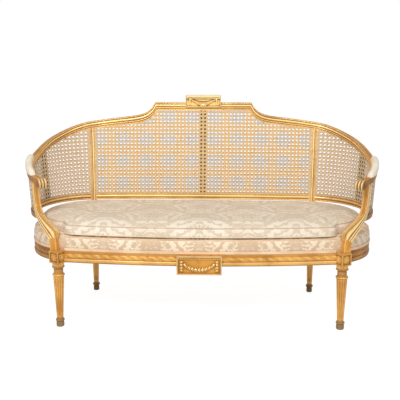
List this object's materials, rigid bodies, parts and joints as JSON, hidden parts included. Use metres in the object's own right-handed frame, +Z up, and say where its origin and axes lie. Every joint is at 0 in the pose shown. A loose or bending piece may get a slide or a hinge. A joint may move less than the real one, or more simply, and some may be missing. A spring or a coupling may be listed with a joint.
{
  "type": "cabriole sofa",
  "caption": "Gilded sofa with a curved caned back and arms, turned fluted legs, padded armrests, an upholstered seat and a loose cushion.",
  "frame": {"origin": "on the floor, under the middle of the sofa's box", "axes": "+X to the right along the sofa, +Y from its front to its back, +Z up"},
  "size_m": [1.6344, 0.7136, 0.992],
  "materials": {
    "gilt_wood": "carved wood with worn gilding",
    "beech": "bare planed wood",
    "cane": "woven cane, painted and rubbed",
    "damask": "silk damask",
    "plain_silk": "plain silk",
    "gimp": "woven braid",
    "webbing": "woven jute strips",
    "hessian": "plain hessian",
    "steel": "plain steel"
  },
  "bodies": {
    "frame": {"crest_rail": "gilt_wood", "crest_tablet": "gilt_wood", "right_arm_rail": "gilt_wood", "left_arm_rail": "gilt_wood", "right_arm_support": "gilt_wood", "left_arm_support": "gilt_wood", "lower_back_rail": "gilt_wood", "right_lower_side_rail": "gilt_wood", "left_lower_side_rail": "gilt_wood", "right_front_leg": "gilt_wood", "left_front_leg": "gilt_wood", "right_rear_leg": "gilt_wood", "left_rear_leg": "gilt_wood", "front_seat_rail": "gilt_wood", "rear_seat_rail": "gilt_wood", "right_seat_rail": "gilt_wood", "left_seat_rail": "gilt_wood", "apron_tablet": "gilt_wood", "front_cane_centre": "cane", "front_cane_right": "cane", "front_cane_left": "cane", "rear_cane_centre": "cane", "rear_cane_right": "cane", "rear_cane_left": "cane", "centre_brace": "beech", "right_side_brace": "beech", "left_side_brace": "beech", "right_armrest_pad": "plain_silk", "left_armrest_pad": "plain_silk", "seat_upholstery": "damask", "front_gimp": "gimp", "right_gimp": "gimp", "left_gimp": "gimp", "rear_gimp": "gimp", "seat_webbing": "webbing", "seat_hessian": "hessian", "right_front_corner_block": "beech", "left_front_corner_block": "beech", "right_rear_corner_block": "beech", "left_rear_corner_block": "beech", "right_front_long_screw": "steel", "left_front_long_screw": "steel", "right_front_side_screw": "steel", "left_front_side_screw": "steel", "right_rear_long_screw": "steel", "left_rear_long_screw": "steel", "right_rear_side_screw": "steel", "left_rear_side_screw": "steel", "right_cross_rail": "beech", "left_cross_rail": "beech"},
    "seat_cushion": {"seat_cushion": "damask"}
  },
  "joints": [
    {"name": "seat_cushion_lift", "type": "slide", "parent": "frame", "child": "seat_cushion", "axis": [0, 0, 1], "range_m": [0, 0.15]}
  ]
}
